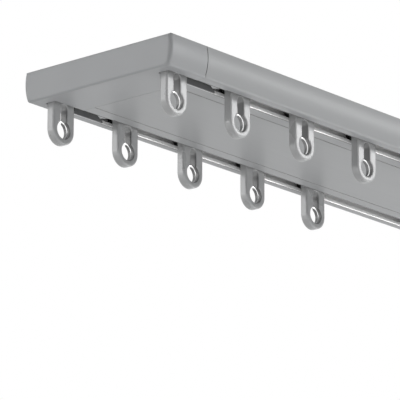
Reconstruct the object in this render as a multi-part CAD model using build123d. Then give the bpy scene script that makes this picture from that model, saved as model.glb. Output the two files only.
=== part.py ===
from build123d import *
import os

# Two-channel curtain track for a ceiling, hung with roller gliders.
# Millimetres. X runs along the track, Y across it, Z up. The origin is the middle of the ceiling plane.

# Track profile
track_length = 300.0
profile_width = 83.0
profile_height = 14.0
side_bulge = 0.7
bulge_depth = 5.4
side_tuck = 1.1
lower_edge_radius = 1.5
top_wall = 1.2
bottom_web = 1.4
chamber_wall = 1.3
chamber_corner = 0.6

# Roller channels
slot_inset = 9.0
slot_width = 6.5
lip_thickness = 1.5
lip_bevel = 0.35
channel_width = 15.2
channel_corner = 0.8
groove_offset = 6.6
groove_width = 0.5
groove_depth = 0.5

# Clip channel in the ceiling face
clip_mouth = 20.0
clip_channel_width = 27.0
clip_lip = 1.8

# End caps
cap_length = 24.2
cap_edge_radius = 1.05
cap_end_wall = 1.8
seam_chamfer = 0.2
bay_start = 6.0
bay_overrun = 1.0
guide_wall = 0.5
guide_height = 2.9
guide_reach = 18.5
guide_recess = 0.35
guide_clearance = 0.05
nose_start = 8.8
nose_length = 6.0
nose_peak = 4.0
nose_depth = 2.1
spigot_reach = 12.0
spigot_clearance = 0.15
spigot_wall = 1.4

# Gliders
gliders_per_row = 5
park_gap = 0.25
second_glider = 54.6
glider_pitch = 43.8
glider_width = 13.3
glider_thickness = 4.0
glider_height = 29.8
glider_edge = 0.7
eye_diameter = 8.1
eye_slot_width = 4.0
eye_slot_top = 18.3
eye_edge = 0.25
wheel_boss_diameter = 6.0

# Wheels and axles
wheel_thickness = 3.2
wheel_spacing = 10.4
wheel_side_gap = 0.1
axle_above_foot = 24.8
rolling_gap = 0.1
roof_gap = 0.5
tread_width = 1.3
rim_bevel = 0.7
rim_width = 0.5
ring_width = 0.85
hub_diameter = 4.4
rim_step = 0.45
web_step = 0.75
hub_step = 0.3
step_slope = 0.15
axle_diameter = 2.6
axle_head_diameter = 3.3
axle_head = 0.4
axle_head_bevel = 0.13
axle_fit = 0.02
wheel_fit = 0.05

half_length = track_length / 2
half_width = profile_width / 2
seam_x = half_length - cap_length
slot_y = half_width - slot_inset
lip_top = lip_thickness - profile_height
wheel_diameter = -top_wall - lip_top - rolling_gap - roof_gap
axle_z = lip_top + rolling_gap + wheel_diameter / 2
foot_z = axle_z - axle_above_foot
chamber_y = slot_y - channel_width / 2 - chamber_wall
clip_wall_y = clip_channel_width / 2 + chamber_wall
park_offset = bay_start + park_gap + glider_width / 2
glider_x = [park_offset - half_length]
glider_x += [second_glider + i * glider_pitch - half_length for i in range(gliders_per_row - 1)]


def block(x0, x1, y0, y1, z0, z1):
    return Pos((x0 + x1) / 2, (y0 + y1) / 2, (z0 + z1) / 2) * Box(x1 - x0, y1 - y0, z1 - z0)


def section(y0, y1, z0, z1, radius=0.0):
    """A rectangle of the cross-section, its corners rounded where a radius is given."""
    size = y1 - y0, z1 - z0
    shape = RectangleRounded(*size, radius) if radius else Rectangle(*size)
    return Pos((y0 + y1) / 2, (z0 + z1) / 2) * shape


def along(sketch, x0, x1):
    """Run a cross-section along the track from x0 to x1."""
    return extrude(Plane.YZ.offset(x0) * sketch, x1 - x0)


def outline():
    """The track's outer section: flat top and bottom, convex sides that tuck in below."""
    sides = []
    for side in (1, -1):
        top = (side * half_width, 0)
        full = (side * (half_width + side_bulge), -bulge_depth)
        foot = (side * (half_width - side_tuck), -profile_height)
        sides.append(ThreePointArc(top, full, foot))
    top_line = Line(sides[1] @ 0, sides[0] @ 0)
    bottom_line = Line(sides[0] @ 1, sides[1] @ 1)
    face = make_face([top_line, sides[0], bottom_line, sides[1]])
    return fillet(face.vertices().group_by(Axis.Y)[0], lower_edge_radius)


def channel_section(y):
    """One roller channel and its slot, as the section that is taken out of the track."""
    half = channel_width / 2
    room = section(y - half, y + half, lip_top, -top_wall, channel_corner)
    mouth = section(y - slot_width / 2, y + slot_width / 2, -profile_height, lip_top + channel_corner)
    lower = -profile_height
    bevels = []
    for side in (1, -1):
        edge = y + side * slot_width / 2
        corner = [(edge, lower), (edge + side * lip_bevel, lower), (edge, lower + lip_bevel)]
        bevels.append(make_face(Polyline(corner, close=True)))
    return room + mouth + bevels


def groove_section(y):
    """A fine V groove in the underside."""
    half = groove_width / 2
    lower = -profile_height
    points = [(y - half, lower), (y + half, lower), (y, lower + groove_depth)]
    return make_face(Polyline(points, close=True))


def make_track():
    """The extruded track: two roller channels, two closed chambers and the clip channel."""
    floor = bottom_web - profile_height
    shape = outline()
    for side in (1, -1):
        shape -= channel_section(side * slot_y)
        shape -= groove_section(side * (slot_y - slot_width / 2 - groove_offset))
        near, far = sorted((side * clip_wall_y, side * chamber_y))
        shape -= section(near, far, floor, -top_wall, chamber_corner)
    clip_half = clip_channel_width / 2
    shape -= section(-clip_half, clip_half, floor, -clip_lip, chamber_corner)
    shape -= section(-clip_mouth / 2, clip_mouth / 2, -clip_lip - chamber_corner, 0)
    return along(shape, -seam_x, seam_x)


def make_guide(side, x0, x1, lower):
    """One wall of a bay's slot, which reaches past the seam and covers the lip's edge."""
    outer = slot_width / 2 - guide_clearance
    low, high = sorted((side * (outer - guide_wall), side * outer))
    return block(x0, x1, low, high, lower, guide_height - profile_height)


def make_nose():
    """The detent that keeps the parked glider in its bay, on the guide's outer wall."""
    root = guide_clearance - slot_width / 2
    tip = root + nose_depth
    points = [(0, root), (nose_peak, tip), (nose_length, root)]
    face = make_face(Polyline(points, close=True))
    return Pos(0, 0, -profile_height) * extrude(face, lip_thickness)


def make_end_cap():
    """The left cap, with its end face at the track's left end."""
    end = -half_length
    seam = -seam_x
    cap = along(outline(), end, seam)
    cap = fillet(cap.faces().sort_by(Axis.X)[0].edges(), cap_edge_radius)
    cap = chamfer(cap.faces().sort_by(Axis.X)[-1].edges(), seam_chamfer)
    floor = bottom_web - profile_height
    cap -= block(end + cap_end_wall, seam, -chamber_y, chamber_y, floor, -top_wall)
    for side in (1, -1):
        y = side * slot_y
        half = channel_width / 2
        room = section(y - half, y + half, lip_top, -top_wall, channel_corner)
        cap -= along(room, end + bay_start - bay_overrun, seam)
        edge = slot_width / 2
        cap -= block(end + bay_start, seam, y - edge, y + edge, -profile_height, lip_top + channel_corner)
        near, far = sorted((side * (clip_wall_y + spigot_clearance), side * (chamber_y - spigot_clearance)))
        low, high = floor + spigot_clearance, -top_wall - spigot_clearance
        spigot = section(near, far, low, high, chamber_corner)
        bore = section(near + spigot_wall, far - spigot_wall, low + spigot_wall, high - spigot_wall)
        cap += along(spigot - bore, end + cap_end_wall, seam + spigot_reach)
        bay = end + bay_start
        guides = make_guide(1, bay, seam + guide_reach, -profile_height)
        guides += make_guide(-1, bay, seam + nose_start + nose_length, guide_recess - profile_height)
        guides += Pos(seam + nose_start, 0, 0) * make_nose()
        cap += Pos(0, y, 0) * guides
    return cap


def make_glider_body():
    """The moulded hanger: a flat link with rounded ends, a keyhole eye and two wheel bosses."""
    radius = glider_width / 2
    link = SlotCenterToCenter(glider_height - glider_width, glider_width, rotation=90)
    link = Pos(0, foot_z + glider_height / 2) * link
    plate = extrude(Plane.XZ * link, glider_thickness / 2, both=True)
    plate = fillet(plate.faces().filter_by(Axis.Y).edges(), glider_edge)
    eye_z = foot_z + radius
    slot_top = foot_z + eye_slot_top - eye_slot_width / 2
    eye = Pos(0, eye_z) * Circle(eye_diameter / 2)
    eye += section(-eye_slot_width / 2, eye_slot_width / 2, eye_z, slot_top)
    eye += Pos(0, slot_top) * Circle(eye_slot_width / 2)
    keyhole = extrude(Plane.XZ * eye, glider_thickness, both=True)
    body = plate - keyhole
    body = chamfer(new_edges(plate, keyhole, combined=body), eye_edge)
    reach = wheel_spacing / 2 - wheel_thickness / 2 - wheel_side_gap
    axle = Plane.XZ * Pos(0, axle_z)
    body += extrude(axle * Circle(wheel_boss_diameter / 2), reach, both=True)
    return body - extrude(axle * Circle(axle_diameter / 2 + axle_fit), wheel_spacing, both=True)


def make_axle():
    """A riveted pin that holds both wheels."""
    shaft = axle_diameter / 2
    head = axle_head_diameter / 2
    inner = wheel_spacing / 2 + wheel_thickness / 2 - hub_step + wheel_side_gap / 2
    outer = inner + axle_head
    points = [(0, 0), (shaft, 0), (shaft, inner), (head, inner), (head, outer), (0, outer)]
    half = revolve(make_face(Plane.XY * Polyline(points, close=True)), Axis.Y)
    rim = half.edges().sort_by(Axis.Y)[-1]
    half = chamfer(rim, axle_head_bevel)
    return Pos(0, 0, axle_z) * (half + mirror(half, Plane.XZ))


def make_wheel(side):
    """A roller with a chamfered rim and a ring, web and hub stepped into both faces."""
    bore = axle_diameter / 2 + wheel_fit
    hub = hub_diameter / 2
    tread = wheel_diameter / 2
    rim_outer = tread - rim_bevel
    rim_inner = rim_outer - rim_width
    ring_inner = rim_inner - step_slope - ring_width
    face = wheel_thickness / 2
    half = [
        (bore, face - hub_step),
        (hub, face - hub_step),
        (hub + step_slope, face - web_step),
        (ring_inner - step_slope, face - web_step),
        (ring_inner, face - rim_step),
        (rim_inner - step_slope, face - rim_step),
        (rim_inner, face),
        (rim_outer, face),
        (tread, tread_width / 2),
    ]
    mirrored = [(r, -a) for r, a in reversed(half)]
    wheel = revolve(make_face(Polyline(half + mirrored, close=True)), Axis.Y)
    return Pos(0, side * wheel_spacing / 2, axle_z) * wheel


def save(name, shape, label_color):
    shape.label = name
    shape.color = label_color
    export_step(shape, f"parts/{name}.step")


os.makedirs("parts", exist_ok=True)
silver = Color(0.66, 0.67, 0.68)
black = Color(0.03, 0.03, 0.03)
white = Color(0.9, 0.9, 0.9)

left_cap = make_end_cap()
save("track", make_track(), silver)
save("left_end_cap", left_cap, silver)
save("right_end_cap", Rot(0, 0, 180) * left_cap, silver)

body = make_glider_body()
axle = make_axle()
front_wheel = make_wheel(-1)
back_wheel = make_wheel(1)
for row, side in (("near", -1), ("far", 1)):
    for number, x in enumerate(glider_x, 1):
        place = Pos(x, side * slot_y, 0)
        save(f"{row}_glider_{number}", place * body, silver)
        save(f"{row}_axle_{number}", place * axle, white)
        save(f"{row}_front_wheel_{number}", place * front_wheel, black)
        save(f"{row}_back_wheel_{number}", place * back_wheel, black)
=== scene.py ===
import math

import bmesh
import bpy
from mathutils import Matrix, Vector


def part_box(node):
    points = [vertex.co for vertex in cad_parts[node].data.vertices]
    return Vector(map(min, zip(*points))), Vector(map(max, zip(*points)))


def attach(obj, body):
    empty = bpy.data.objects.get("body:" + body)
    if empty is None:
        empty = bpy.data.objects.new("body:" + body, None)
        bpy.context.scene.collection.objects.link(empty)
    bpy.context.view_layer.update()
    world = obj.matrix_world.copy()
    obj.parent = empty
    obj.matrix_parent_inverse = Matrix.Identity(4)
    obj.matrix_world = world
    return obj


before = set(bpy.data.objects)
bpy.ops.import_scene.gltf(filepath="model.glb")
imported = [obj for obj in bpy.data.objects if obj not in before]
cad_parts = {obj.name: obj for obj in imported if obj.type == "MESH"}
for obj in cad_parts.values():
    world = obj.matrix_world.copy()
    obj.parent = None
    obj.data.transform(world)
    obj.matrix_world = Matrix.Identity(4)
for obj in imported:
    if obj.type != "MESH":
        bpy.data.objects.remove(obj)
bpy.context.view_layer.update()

print("frame loaded with", len(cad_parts), "nodes")


def newMaterial(name):
    material = bpy.data.materials.new(name)
    material.use_nodes = True
    return material, material.node_tree.nodes["Principled BSDF"]


def link(material, source, target):
    material.node_tree.links.new(source, target)


def feed(material, value, socket):    # value is another node's output or a number
    if hasattr(value, "is_linked"):
        link(material, value, socket)
    else:
        socket.default_value = value


def withMath(material, operation, *values):
    node = material.node_tree.nodes.new("ShaderNodeMath")
    node.operation = operation
    for socket, value in zip(node.inputs, values):
        feed(material, value, socket)
    return node.outputs[0]


def both(material, first, second):
    return withMath(material, "MULTIPLY", first, second)


def above(material, value, limit):
    return withMath(material, "GREATER_THAN", value, limit)


def below(material, value, limit):
    return withMath(material, "LESS_THAN", value, limit)


def within(material, value, middle, half):
    return withMath(material, "COMPARE", value, middle, half)


def objectNoise(material, scale, stretch=(1, 1, 1), detail=3):
    # stretch draws the pattern out along each axis
    nodes = material.node_tree.nodes
    coords = nodes.new("ShaderNodeTexCoord")
    mapping = nodes.new("ShaderNodeMapping")
    mapping.inputs["Scale"].default_value = [1 / s for s in stretch]
    noise = nodes.new("ShaderNodeTexNoise")
    noise.inputs["Scale"].default_value = scale
    noise.inputs["Detail"].default_value = detail
    link(material, coords.outputs["Object"], mapping.inputs["Vector"])
    link(material, mapping.outputs["Vector"], noise.inputs["Vector"])
    return noise.outputs["Fac"]


def ranged(material, value, low, high, fromLow=0.3, fromHigh=0.7):    # most noise lies from 0.3 to 0.7
    node = material.node_tree.nodes.new("ShaderNodeMapRange")
    node.inputs["From Min"].default_value = fromLow
    node.inputs["From Max"].default_value = fromHigh
    node.inputs["To Min"].default_value = low
    node.inputs["To Max"].default_value = high
    link(material, value, node.inputs["Value"])
    return node.outputs["Result"]


def blended(material, factor, first, second):
    node = material.node_tree.nodes.new("ShaderNodeMix")
    node.data_type = "RGBA"
    for name, value in (("A", first), ("B", second)):
        socket = next(i for i in node.inputs if i.name == name and i.type == "RGBA")
        feed(material, (*value, 1) if isinstance(value, tuple) else value, socket)
    link(material, factor, node.inputs["Factor"])
    return next(o for o in node.outputs if o.type == "RGBA")


def bumped(material, shader, height, distance, strength=0.2):
    node = material.node_tree.nodes.new("ShaderNodeBump")
    node.inputs["Distance"].default_value = distance
    node.inputs["Strength"].default_value = strength
    link(material, height, node.inputs["Height"])
    link(material, node.outputs["Normal"], shader.inputs["Normal"])


def softened(material, radius, samples=12):    # edges look rounder than they are cut
    nodes = material.node_tree.nodes
    node = nodes.new("ShaderNodeBevel")
    node.samples = samples
    feed(material, radius, node.inputs["Radius"])
    link(material, node.outputs["Normal"], nodes["Bump"].inputs["Normal"])


def axesOf(material):    # distance across from the middle, height and place along the track
    nodes = material.node_tree.nodes
    coords = nodes.new("ShaderNodeTexCoord")
    split = nodes.new("ShaderNodeSeparateXYZ")
    link(material, coords.outputs["Object"], split.inputs["Vector"])
    across = withMath(material, "ABSOLUTE", split.outputs["Y"])
    return across, split.outputs["Z"], split.outputs["X"]


trackLow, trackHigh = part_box("track")
underside = trackLow.z
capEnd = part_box("right_end_cap")[1].x
gliderLow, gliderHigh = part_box("far_glider_1")
channelY = (gliderLow.y + gliderHigh.y) / 2
foot = gliderLow.z


channel = {                     # the section of a roller channel and its slot
    "half": 0.00765,            # the room the rollers run in
    "lipHeight": 0.0014,
    "roofDepth": 0.0011,
    "mouthHalf": 0.00365,
    "edgeLine": 0.00002,        # how far inside the lip's edge the finish changes
}


def insideChannels(material, reach):    # 1 in the two roller channels and their slots
    across, height, along = axesOf(material)
    room = both(material, within(material, across, channelY, channel["half"]),
                above(material, height, underside + channel["lipHeight"]))
    mouth = both(material, within(material, across, channelY, channel["mouthHalf"]),
                 above(material, height, underside + channel["edgeLine"]))
    inside = withMath(material, "MAXIMUM", room, mouth)
    inside = both(material, inside, below(material, height, -channel["roofDepth"]))
    return both(material, inside, within(material, along, 0, reach))


def onUnderside(material, middle, half, top):    # 1 on a line along the underside, up to a height
    across, height, along = axesOf(material)
    return both(material, within(material, across, middle, half), below(material, height, underside + top))


trackFinish = {
    "colour": (0.458, 0.467, 0.474),
    "worn": (0.477, 0.487, 0.494),
    "cloudScale": 25,
    "bare": (0.95, 0.95, 0.95),         # painted light on the lip sides and inside the channels
    "lip": (0.95, 0.95, 0.95),          # painted highlight on the bevels along the slots
    "lipShine": 0.3,
    "lipOffset": 0.00343,               # from the middle of the channel, both ways
    "lipHalf": 0.00019,
    "lipTop": 0.0004,                   # how far up the lines on the underside reach
    "lipGuided": 0.0186,                # this far from its ends the caps' guides cover the lips
    "burr": (0.14, 0.14, 0.14),         # painted shade line beside each bevel
    "burrOffset": 0.00389,
    "burrHalf": 0.00026,
    "groove": (0.28, 0.28, 0.28),       # painted shade in the fine grooves
    "grooveOffset": 0.00985,            # from the middle of the channel inwards
    "grooveHalf": 0.00026,
    "specular": 0.3,
    "metallic": 0.08,
    "roughness": (0.36, 0.42),
    "lineScale": 900,                   # the fine lines that the die leaves
    "lineLength": 60,
    "lineDepth": 0.00001,
    "lineStrength": 0.15,
}


def satinAluminium():
    f = trackFinish
    material, shader = newMaterial("satinAluminium")
    lines = objectNoise(material, f["lineScale"], (f["lineLength"], 1, 1))
    cloud = objectNoise(material, f["cloudScale"])
    colour = blended(material, cloud, f["colour"], f["worn"])
    # painted light: the channels and the lip sides are coloured near white so they look lit
    colour = blended(material, insideChannels(material, capEnd), colour, f["bare"])
    # painted shade: the fine grooves are darkened
    groove = onUnderside(material, channelY - f["grooveOffset"], f["grooveHalf"], f["lipTop"])
    colour = blended(material, groove, colour, f["groove"])
    shine = f["metallic"]
    across, height, along = axesOf(material)
    uncovered = within(material, along, 0, trackHigh.x - f["lipGuided"])
    for side in (1, -1):
        # painted shade: a dark line beside each bevel
        burr = onUnderside(material, channelY + side * f["burrOffset"], f["burrHalf"], f["lipTop"])
        colour = blended(material, both(material, burr, uncovered), colour, f["burr"])
        # painted highlight along each bevel, near white with extra metallic shine
        lip = onUnderside(material, channelY + side * f["lipOffset"], f["lipHalf"], f["lipTop"])
        lip = both(material, lip, uncovered)
        colour = blended(material, lip, colour, f["lip"])
        shine = withMath(material, "MULTIPLY_ADD", lip, f["lipShine"], shine)
    link(material, colour, shader.inputs["Base Color"])
    link(material, shine, shader.inputs["Metallic"])
    link(material, ranged(material, lines, *f["roughness"]), shader.inputs["Roughness"])
    shader.inputs["Specular IOR Level"].default_value = f["specular"]
    bumped(material, shader, lines, f["lineDepth"], f["lineStrength"])
    return material


def mouldedPlastic(name, f, shaded=None, cloudScale=60):    # shaded paints shade into the colour in places; on the caps it also adds the dark joint
    material, shader = newMaterial(name)
    grain = objectNoise(material, f["grainScale"])
    cloud = objectNoise(material, cloudScale)
    colour = blended(material, cloud, f["colour"], f["worn"])
    if shaded:
        colour = shaded(material, colour)
    link(material, colour, shader.inputs["Base Color"])
    link(material, ranged(material, cloud, *f["roughness"]), shader.inputs["Roughness"])
    shader.inputs["Metallic"].default_value = f["metallic"]
    shader.inputs["Specular IOR Level"].default_value = f["specular"]
    bumped(material, shader, grain, f["grainDepth"])
    return material


capFinish = {
    "colour": (0.452, 0.462, 0.472),
    "worn": (0.467, 0.477, 0.487),
    "seam": (0.03, 0.03, 0.03),         # the joint to the track
    "seamHalf": 0.00042,
    "seamLow": 0.0012,                  # it closes up on the underside
    "bay": (0.23, 0.233, 0.237),        # painted shade inside the bays and their guides
    "endWall": 0.0045,
    "softEdge": 0.0024,                 # at the corner between end and side
    "cornerSize": 0.004,
    "metallic": 0.08,
    "specular": 0.3,
    "roughness": (0.36, 0.44),
    "grainScale": 2500,
    "grainDepth": 0.00003,
}


def shadedCap(material, colour):
    f = capFinish
    across, height, along = axesOf(material)
    # painted shade inside the bays and guides; the dark joint below is the real seam
    inside = insideChannels(material, capEnd - f["endWall"])
    colour = blended(material, inside, colour, f["bay"])
    seam = within(material, withMath(material, "ABSOLUTE", along), trackHigh.x, f["seamHalf"])
    seam = both(material, seam, above(material, height, underside + f["seamLow"]))
    return blended(material, seam, colour, f["seam"])


def capPlastic():
    f = capFinish
    material = mouldedPlastic("capPlastic", f, shadedCap)
    across, height, along = axesOf(material)
    end = above(material, withMath(material, "ABSOLUTE", along), capEnd - f["cornerSize"])
    side = above(material, across, trackHigh.y - f["cornerSize"])
    softened(material, both(material, both(material, end, side), f["softEdge"]))
    return material


gliderFinish = {
    "colour": (0.48, 0.485, 0.488),
    "worn": (0.5, 0.505, 0.508),
    "inner": {"near": (0.33, 0.332, 0.334),     # painted shade on the walls of the keyhole, darker in the far row
              "far": (0.21, 0.211, 0.212)},
    "innerFade": {"near": 0.0002,               # how soon the painted shade fades towards the top
                  "far": 0.0035},
    "innerHalf": 0.0043,
    "innerDepth": 0.00188,
    "innerLow": 0.0024,                         # above the foot
    "innerHigh": 0.0185,
    "softEdge": 0.0011,
    "metallic": 0.17,
    "specular": 0.5,
    "roughness": (0.26, 0.32),
    "grainScale": 2500,
    "grainDepth": 0.00002,
}


def eyeCentre(gliderName):    # the foot is half a circle around the eye
    low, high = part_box(gliderName)
    x, y = (low.x + high.x) / 2, (low.y + high.y) / 2
    return Vector((x, y, low.z + (high.x - low.x) / 2))


def gliderPlastic(gliderName):
    f = gliderFinish
    row = gliderName.split("_")[0]

    def shadedKeyhole(material, colour):
        across, height, along = axesOf(material)
        low, high = foot + f["innerLow"], foot + f["innerHigh"]
        # painted shade on the keyhole's walls, fading towards the top
        wall = both(material, within(material, along, eyeCentre(gliderName).x, f["innerHalf"]),
                    within(material, across, channelY, f["innerDepth"]))
        wall = both(material, wall, above(material, height, low))
        wall = both(material, wall, ranged(material, height, 1, 0, high - f["innerFade"][row], high))
        return blended(material, wall, colour, f["inner"][row])

    material = mouldedPlastic("plastic_" + gliderName, f, shadedKeyhole)
    softened(material, f["softEdge"])
    return material


pinFinish = {
    "colour": (0.75, 0.75, 0.74),
    "worn": (0.8, 0.8, 0.79),
    "metallic": 0.0,
    "specular": 0.5,
    "roughness": (0.3, 0.4),
    "grainScale": 2500,
    "grainDepth": 0.00002,
}

rollerFinish = {
    "colour": (0.012, 0.012, 0.013),
    "worn": (0.02, 0.02, 0.021),
    "metallic": 0.0,
    "specular": 0.5,
    "roughness": (0.35, 0.45),
    "grainScale": 3000,
    "grainDepth": 0.00003,
}

gliders = [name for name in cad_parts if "_glider_" in name]
finishes = {
    "track": satinAluminium(),
    "end_cap": capPlastic(),
    "axle": mouldedPlastic("pinPlastic", pinFinish),
    "wheel": mouldedPlastic("rollerRubber", rollerFinish),
    **{name: gliderPlastic(name) for name in gliders},
}

for name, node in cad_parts.items():
    kind = next(k for k in finishes if k in name)
    node.data.materials.clear()
    node.data.materials.append(finishes[kind])
print("finishes on", len(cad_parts), "nodes")


eyeRidge = {                # the thin ring half way into every glider's eye; its near-white metallic finish is a painted highlight
    "eyeRadius": 0.00405,
    "halfWidth": 0.00034,
    "height": 0.00034,
    "sunk": 0.0001,
    "steps": 72,
    "colour": (0.92, 0.92, 0.92),
    "worn": (0.95, 0.95, 0.95),
    "metallic": 0.8,
    "specular": 0.5,
    "roughness": (0.2, 0.25),
    "grainScale": 2500,
    "grainDepth": 0.00001,
}


def makeEyeRidge(name, gliderName):
    r = eyeRidge
    centre = eyeCentre(gliderName)
    work = bmesh.new()
    profile = ((r["sunk"], -r["halfWidth"]), (-r["height"], 0), (r["sunk"], r["halfWidth"]))
    corners = [work.verts.new(centre + Vector((0, across, r["eyeRadius"] + out)))
               for out, across in profile]
    edges = [work.edges.new((corners[i], corners[i - 1])) for i in range(len(corners))]
    bmesh.ops.spin(work, geom=[*corners, *edges], cent=centre, axis=(0, 1, 0), angle=2 * math.pi,
                   steps=r["steps"], use_merge=True)
    bmesh.ops.recalc_face_normals(work, faces=work.faces)
    mesh = bpy.data.meshes.new(name)
    work.to_mesh(mesh)
    work.free()
    piece = bpy.data.objects.new(name, mesh)
    bpy.context.collection.objects.link(piece)
    return piece


# painted highlight: the ring is near white and metallic so it reads as the eye rim's glint
ridgeFinish = mouldedPlastic("ridgePlastic", eyeRidge)
for name in gliders:
    row, _, number = name.split("_")
    ridge = makeEyeRidge(f"{row}_eye_ridge_{number}", name)
    ridge.data.materials.append(ridgeFinish)
    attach(ridge, f"{row}_carriage_{number}")
print("eye ridges in", len(gliders), "gliders")


studio = {
    "floorDrop": 6.0,                       # far enough to look at the underside
    "floorSize": 24.0,
    "floorColour": (0.55, 0.55, 0.55),
    "floorRoughness": 0.9,
    "backdrop": 1.0,
    "backdropSide": (0.757, 0.654, 0.0),    # where the white backdrop stands
    "roomBright": 0.9,                      # diffuse light from the backdrop's side
    "roomDark": 0.12,                       # and from the side of the camera
}


def seenDirectly(tree):    # 1 where a camera, mirror or glass ray arrives
    path = tree.nodes.new("ShaderNodeLightPath")
    total = path.outputs["Is Camera Ray"]
    for name in ("Is Glossy Ray", "Is Transmission Ray"):
        node = tree.nodes.new("ShaderNodeMath")
        node.operation = "MAXIMUM"
        tree.links.new(total, node.inputs[0])
        tree.links.new(path.outputs[name], node.inputs[1])
        total = node.outputs[0]
    return total


def makeRoom():
    world = bpy.data.worlds.new("whiteRoom")
    world.use_nodes = True
    bpy.context.scene.world = world
    tree = world.node_tree
    background = tree.nodes["Background"]
    background.inputs["Color"].default_value = (1, 1, 1, 1)
    coords = tree.nodes.new("ShaderNodeTexCoord")
    facing = tree.nodes.new("ShaderNodeVectorMath")
    facing.operation = "DOT_PRODUCT"
    facing.inputs[1].default_value = studio["backdropSide"]
    tree.links.new(coords.outputs["Generated"], facing.inputs[0])
    room = tree.nodes.new("ShaderNodeMapRange")
    room.interpolation_type = "SMOOTHSTEP"
    room.inputs["From Min"].default_value = -1    # facing away from the backdrop
    room.inputs["To Min"].default_value = studio["roomDark"]
    room.inputs["To Max"].default_value = studio["roomBright"]
    tree.links.new(facing.outputs["Value"], room.inputs["Value"])
    strength = tree.nodes.new("ShaderNodeMix")
    strength.inputs["B"].default_value = studio["backdrop"]
    tree.links.new(seenDirectly(tree), strength.inputs["Factor"])
    tree.links.new(room.outputs["Result"], strength.inputs["A"])
    tree.links.new(strength.outputs["Result"], background.inputs["Strength"])


def makeFloor():
    bpy.ops.mesh.primitive_plane_add(size=studio["floorSize"], location=(0, 0, -studio["floorDrop"]))
    floor = bpy.context.object
    floor.name = "studioFloor"
    material, shader = newMaterial("paleFloor")
    shader.inputs["Base Color"].default_value = (*studio["floorColour"], 1)
    shader.inputs["Roughness"].default_value = studio["floorRoughness"]
    shader.inputs["Emission Color"].default_value = (1, 1, 1, 1)
    glow = both(material, seenDirectly(material.node_tree), studio["backdrop"] - studio["floorColour"][0])
    link(material, glow, shader.inputs["Emission Strength"])
    floor.data.materials.append(material)


softboxes = {
    "sideSoftbox": {
        "direction": (0.726, -0.627, 0.283),
        "distance": 1.6,
        "width": 1.0,
        "height": 0.36,
        "radiance": 3.75,
    },
    "endSoftbox": {
        "direction": (-0.76, 0.6, 0.2),
        "distance": 1.6,
        "width": 1.0,
        "height": 0.7,
        "radiance": 1.5,
    },
    "lowSoftbox": {
        "direction": (0.5, -0.7, -0.5),
        "distance": 1.2,
        "width": 1.2,
        "height": 1.2,
        "radiance": 0.5,
    },
    "underSoftbox": {
        "direction": (0.2, 0.0, -1.0),
        "distance": 1.2,
        "width": 1.0,
        "height": 1.0,
        "radiance": 0.35,
    },
    "cameraFill": {
        "direction": (-0.61, -0.61, -0.51),
        "distance": 1.2,
        "width": 1.0,
        "height": 1.0,
        "radiance": 0.6,
    },
    "leftFill": {
        "direction": (-0.9, 0.3, -0.3),
        "distance": 1.2,
        "width": 1.0,
        "height": 1.0,
        "radiance": 0.35,
    },
    "lowStrip": {
        "direction": (0.726, -0.283, -0.627),
        "distance": 0.8,
        "width": 0.5,
        "height": 0.1,
        "radiance": 5.0,
    },
}


def makeSoftbox(name, s):
    light = bpy.data.lights.new(name, "AREA")
    light.shape = "RECTANGLE"
    light.size = s["width"]
    light.size_y = s["height"]
    light.energy = math.pi * s["radiance"] * s["width"] * s["height"]
    place = bpy.data.objects.new(name, light)
    bpy.context.collection.objects.link(place)
    direction = Vector(s["direction"]).normalized()
    place.location = direction * s["distance"]
    place.rotation_euler = direction.to_track_quat("Z", "Y").to_euler()


makeRoom()
makeFloor()
for name, settings in softboxes.items():
    makeSoftbox(name, settings)
print("studio ready with", len(softboxes), "softboxes")


photoView = {
    "position": (-1.25319, -1.01123, -0.50685),
    "yaw": 40.814,          # from +X towards +Y
    "pitch": 16.439,        # looking up
    "roll": 0.11,
    "lens": 332.62,
    "sensor": 36.0,
    "clipStart": 0.01,
}


def makeCamera():
    data = bpy.data.cameras.new("photoCamera")
    data.lens = photoView["lens"]
    data.sensor_width = photoView["sensor"]
    data.clip_start = photoView["clipStart"]
    camera = bpy.data.objects.new("photoCamera", data)
    bpy.context.collection.objects.link(camera)
    yaw, pitch, roll = (math.radians(photoView[angle]) for angle in ("yaw", "pitch", "roll"))
    ahead = Vector((math.cos(yaw) * math.cos(pitch), math.sin(yaw) * math.cos(pitch), math.sin(pitch)))
    turn = ahead.to_track_quat("-Z", "Y").to_matrix() @ Matrix.Rotation(roll, 3, "Z")
    camera.rotation_euler = turn.to_euler()
    camera.location = photoView["position"]
    bpy.context.scene.camera = camera


makeCamera()
bpy.context.scene.view_settings.view_transform = "Standard"
print("camera ready")
